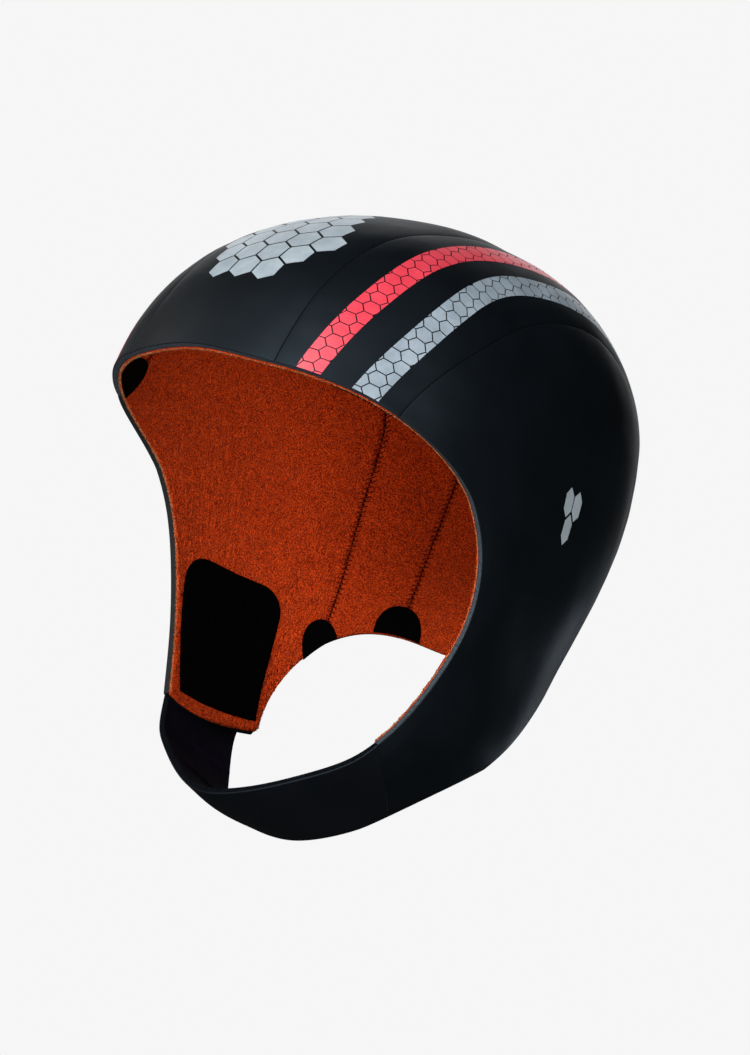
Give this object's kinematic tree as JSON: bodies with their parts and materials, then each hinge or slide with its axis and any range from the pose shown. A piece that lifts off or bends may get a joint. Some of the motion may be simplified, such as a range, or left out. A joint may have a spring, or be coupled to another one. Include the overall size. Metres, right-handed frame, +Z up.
{
  "type": "neoprene swim cap",
  "caption": "Close-fitting neoprene swim cap in glued panels, with a pile lining and a wide chin strap that closes on the right flap.",
  "frame": {"origin": "the middle of the crown's inner face, where the cap rests on a head", "axes": "+Z up, -Y the way the face looks, +X the wearer's left"},
  "size_m": [0.1656, 0.1815, 0.2123],
  "materials": {
    "neoprene_skin": "smooth skin, satin",
    "strap_neoprene": "smooth skin, satin",
    "pile_lining": "short brushed pile",
    "black_patch": "matte"
  },
  "bodies": {
    "root": {"crown_panel": "neoprene_skin", "crown_lining": "pile_lining", "stripe_left_panel": "neoprene_skin", "stripe_left_lining": "pile_lining", "stripe_right_panel": "neoprene_skin", "stripe_right_lining": "pile_lining", "side_left_panel": "neoprene_skin", "side_left_lining": "pile_lining", "side_right_panel": "neoprene_skin", "side_right_lining": "pile_lining", "chin_strap": "strap_neoprene", "strap_pad": "black_patch", "flap_patch": "black_patch", "temple_tab_left": "black_patch", "temple_tab_right": "black_patch", "nape_tab_inner_left": "black_patch", "nape_tab_inner_right": "black_patch", "nape_tab_outer_left": "black_patch", "nape_tab_outer_right": "black_patch"}
  },
  "joints": []
}
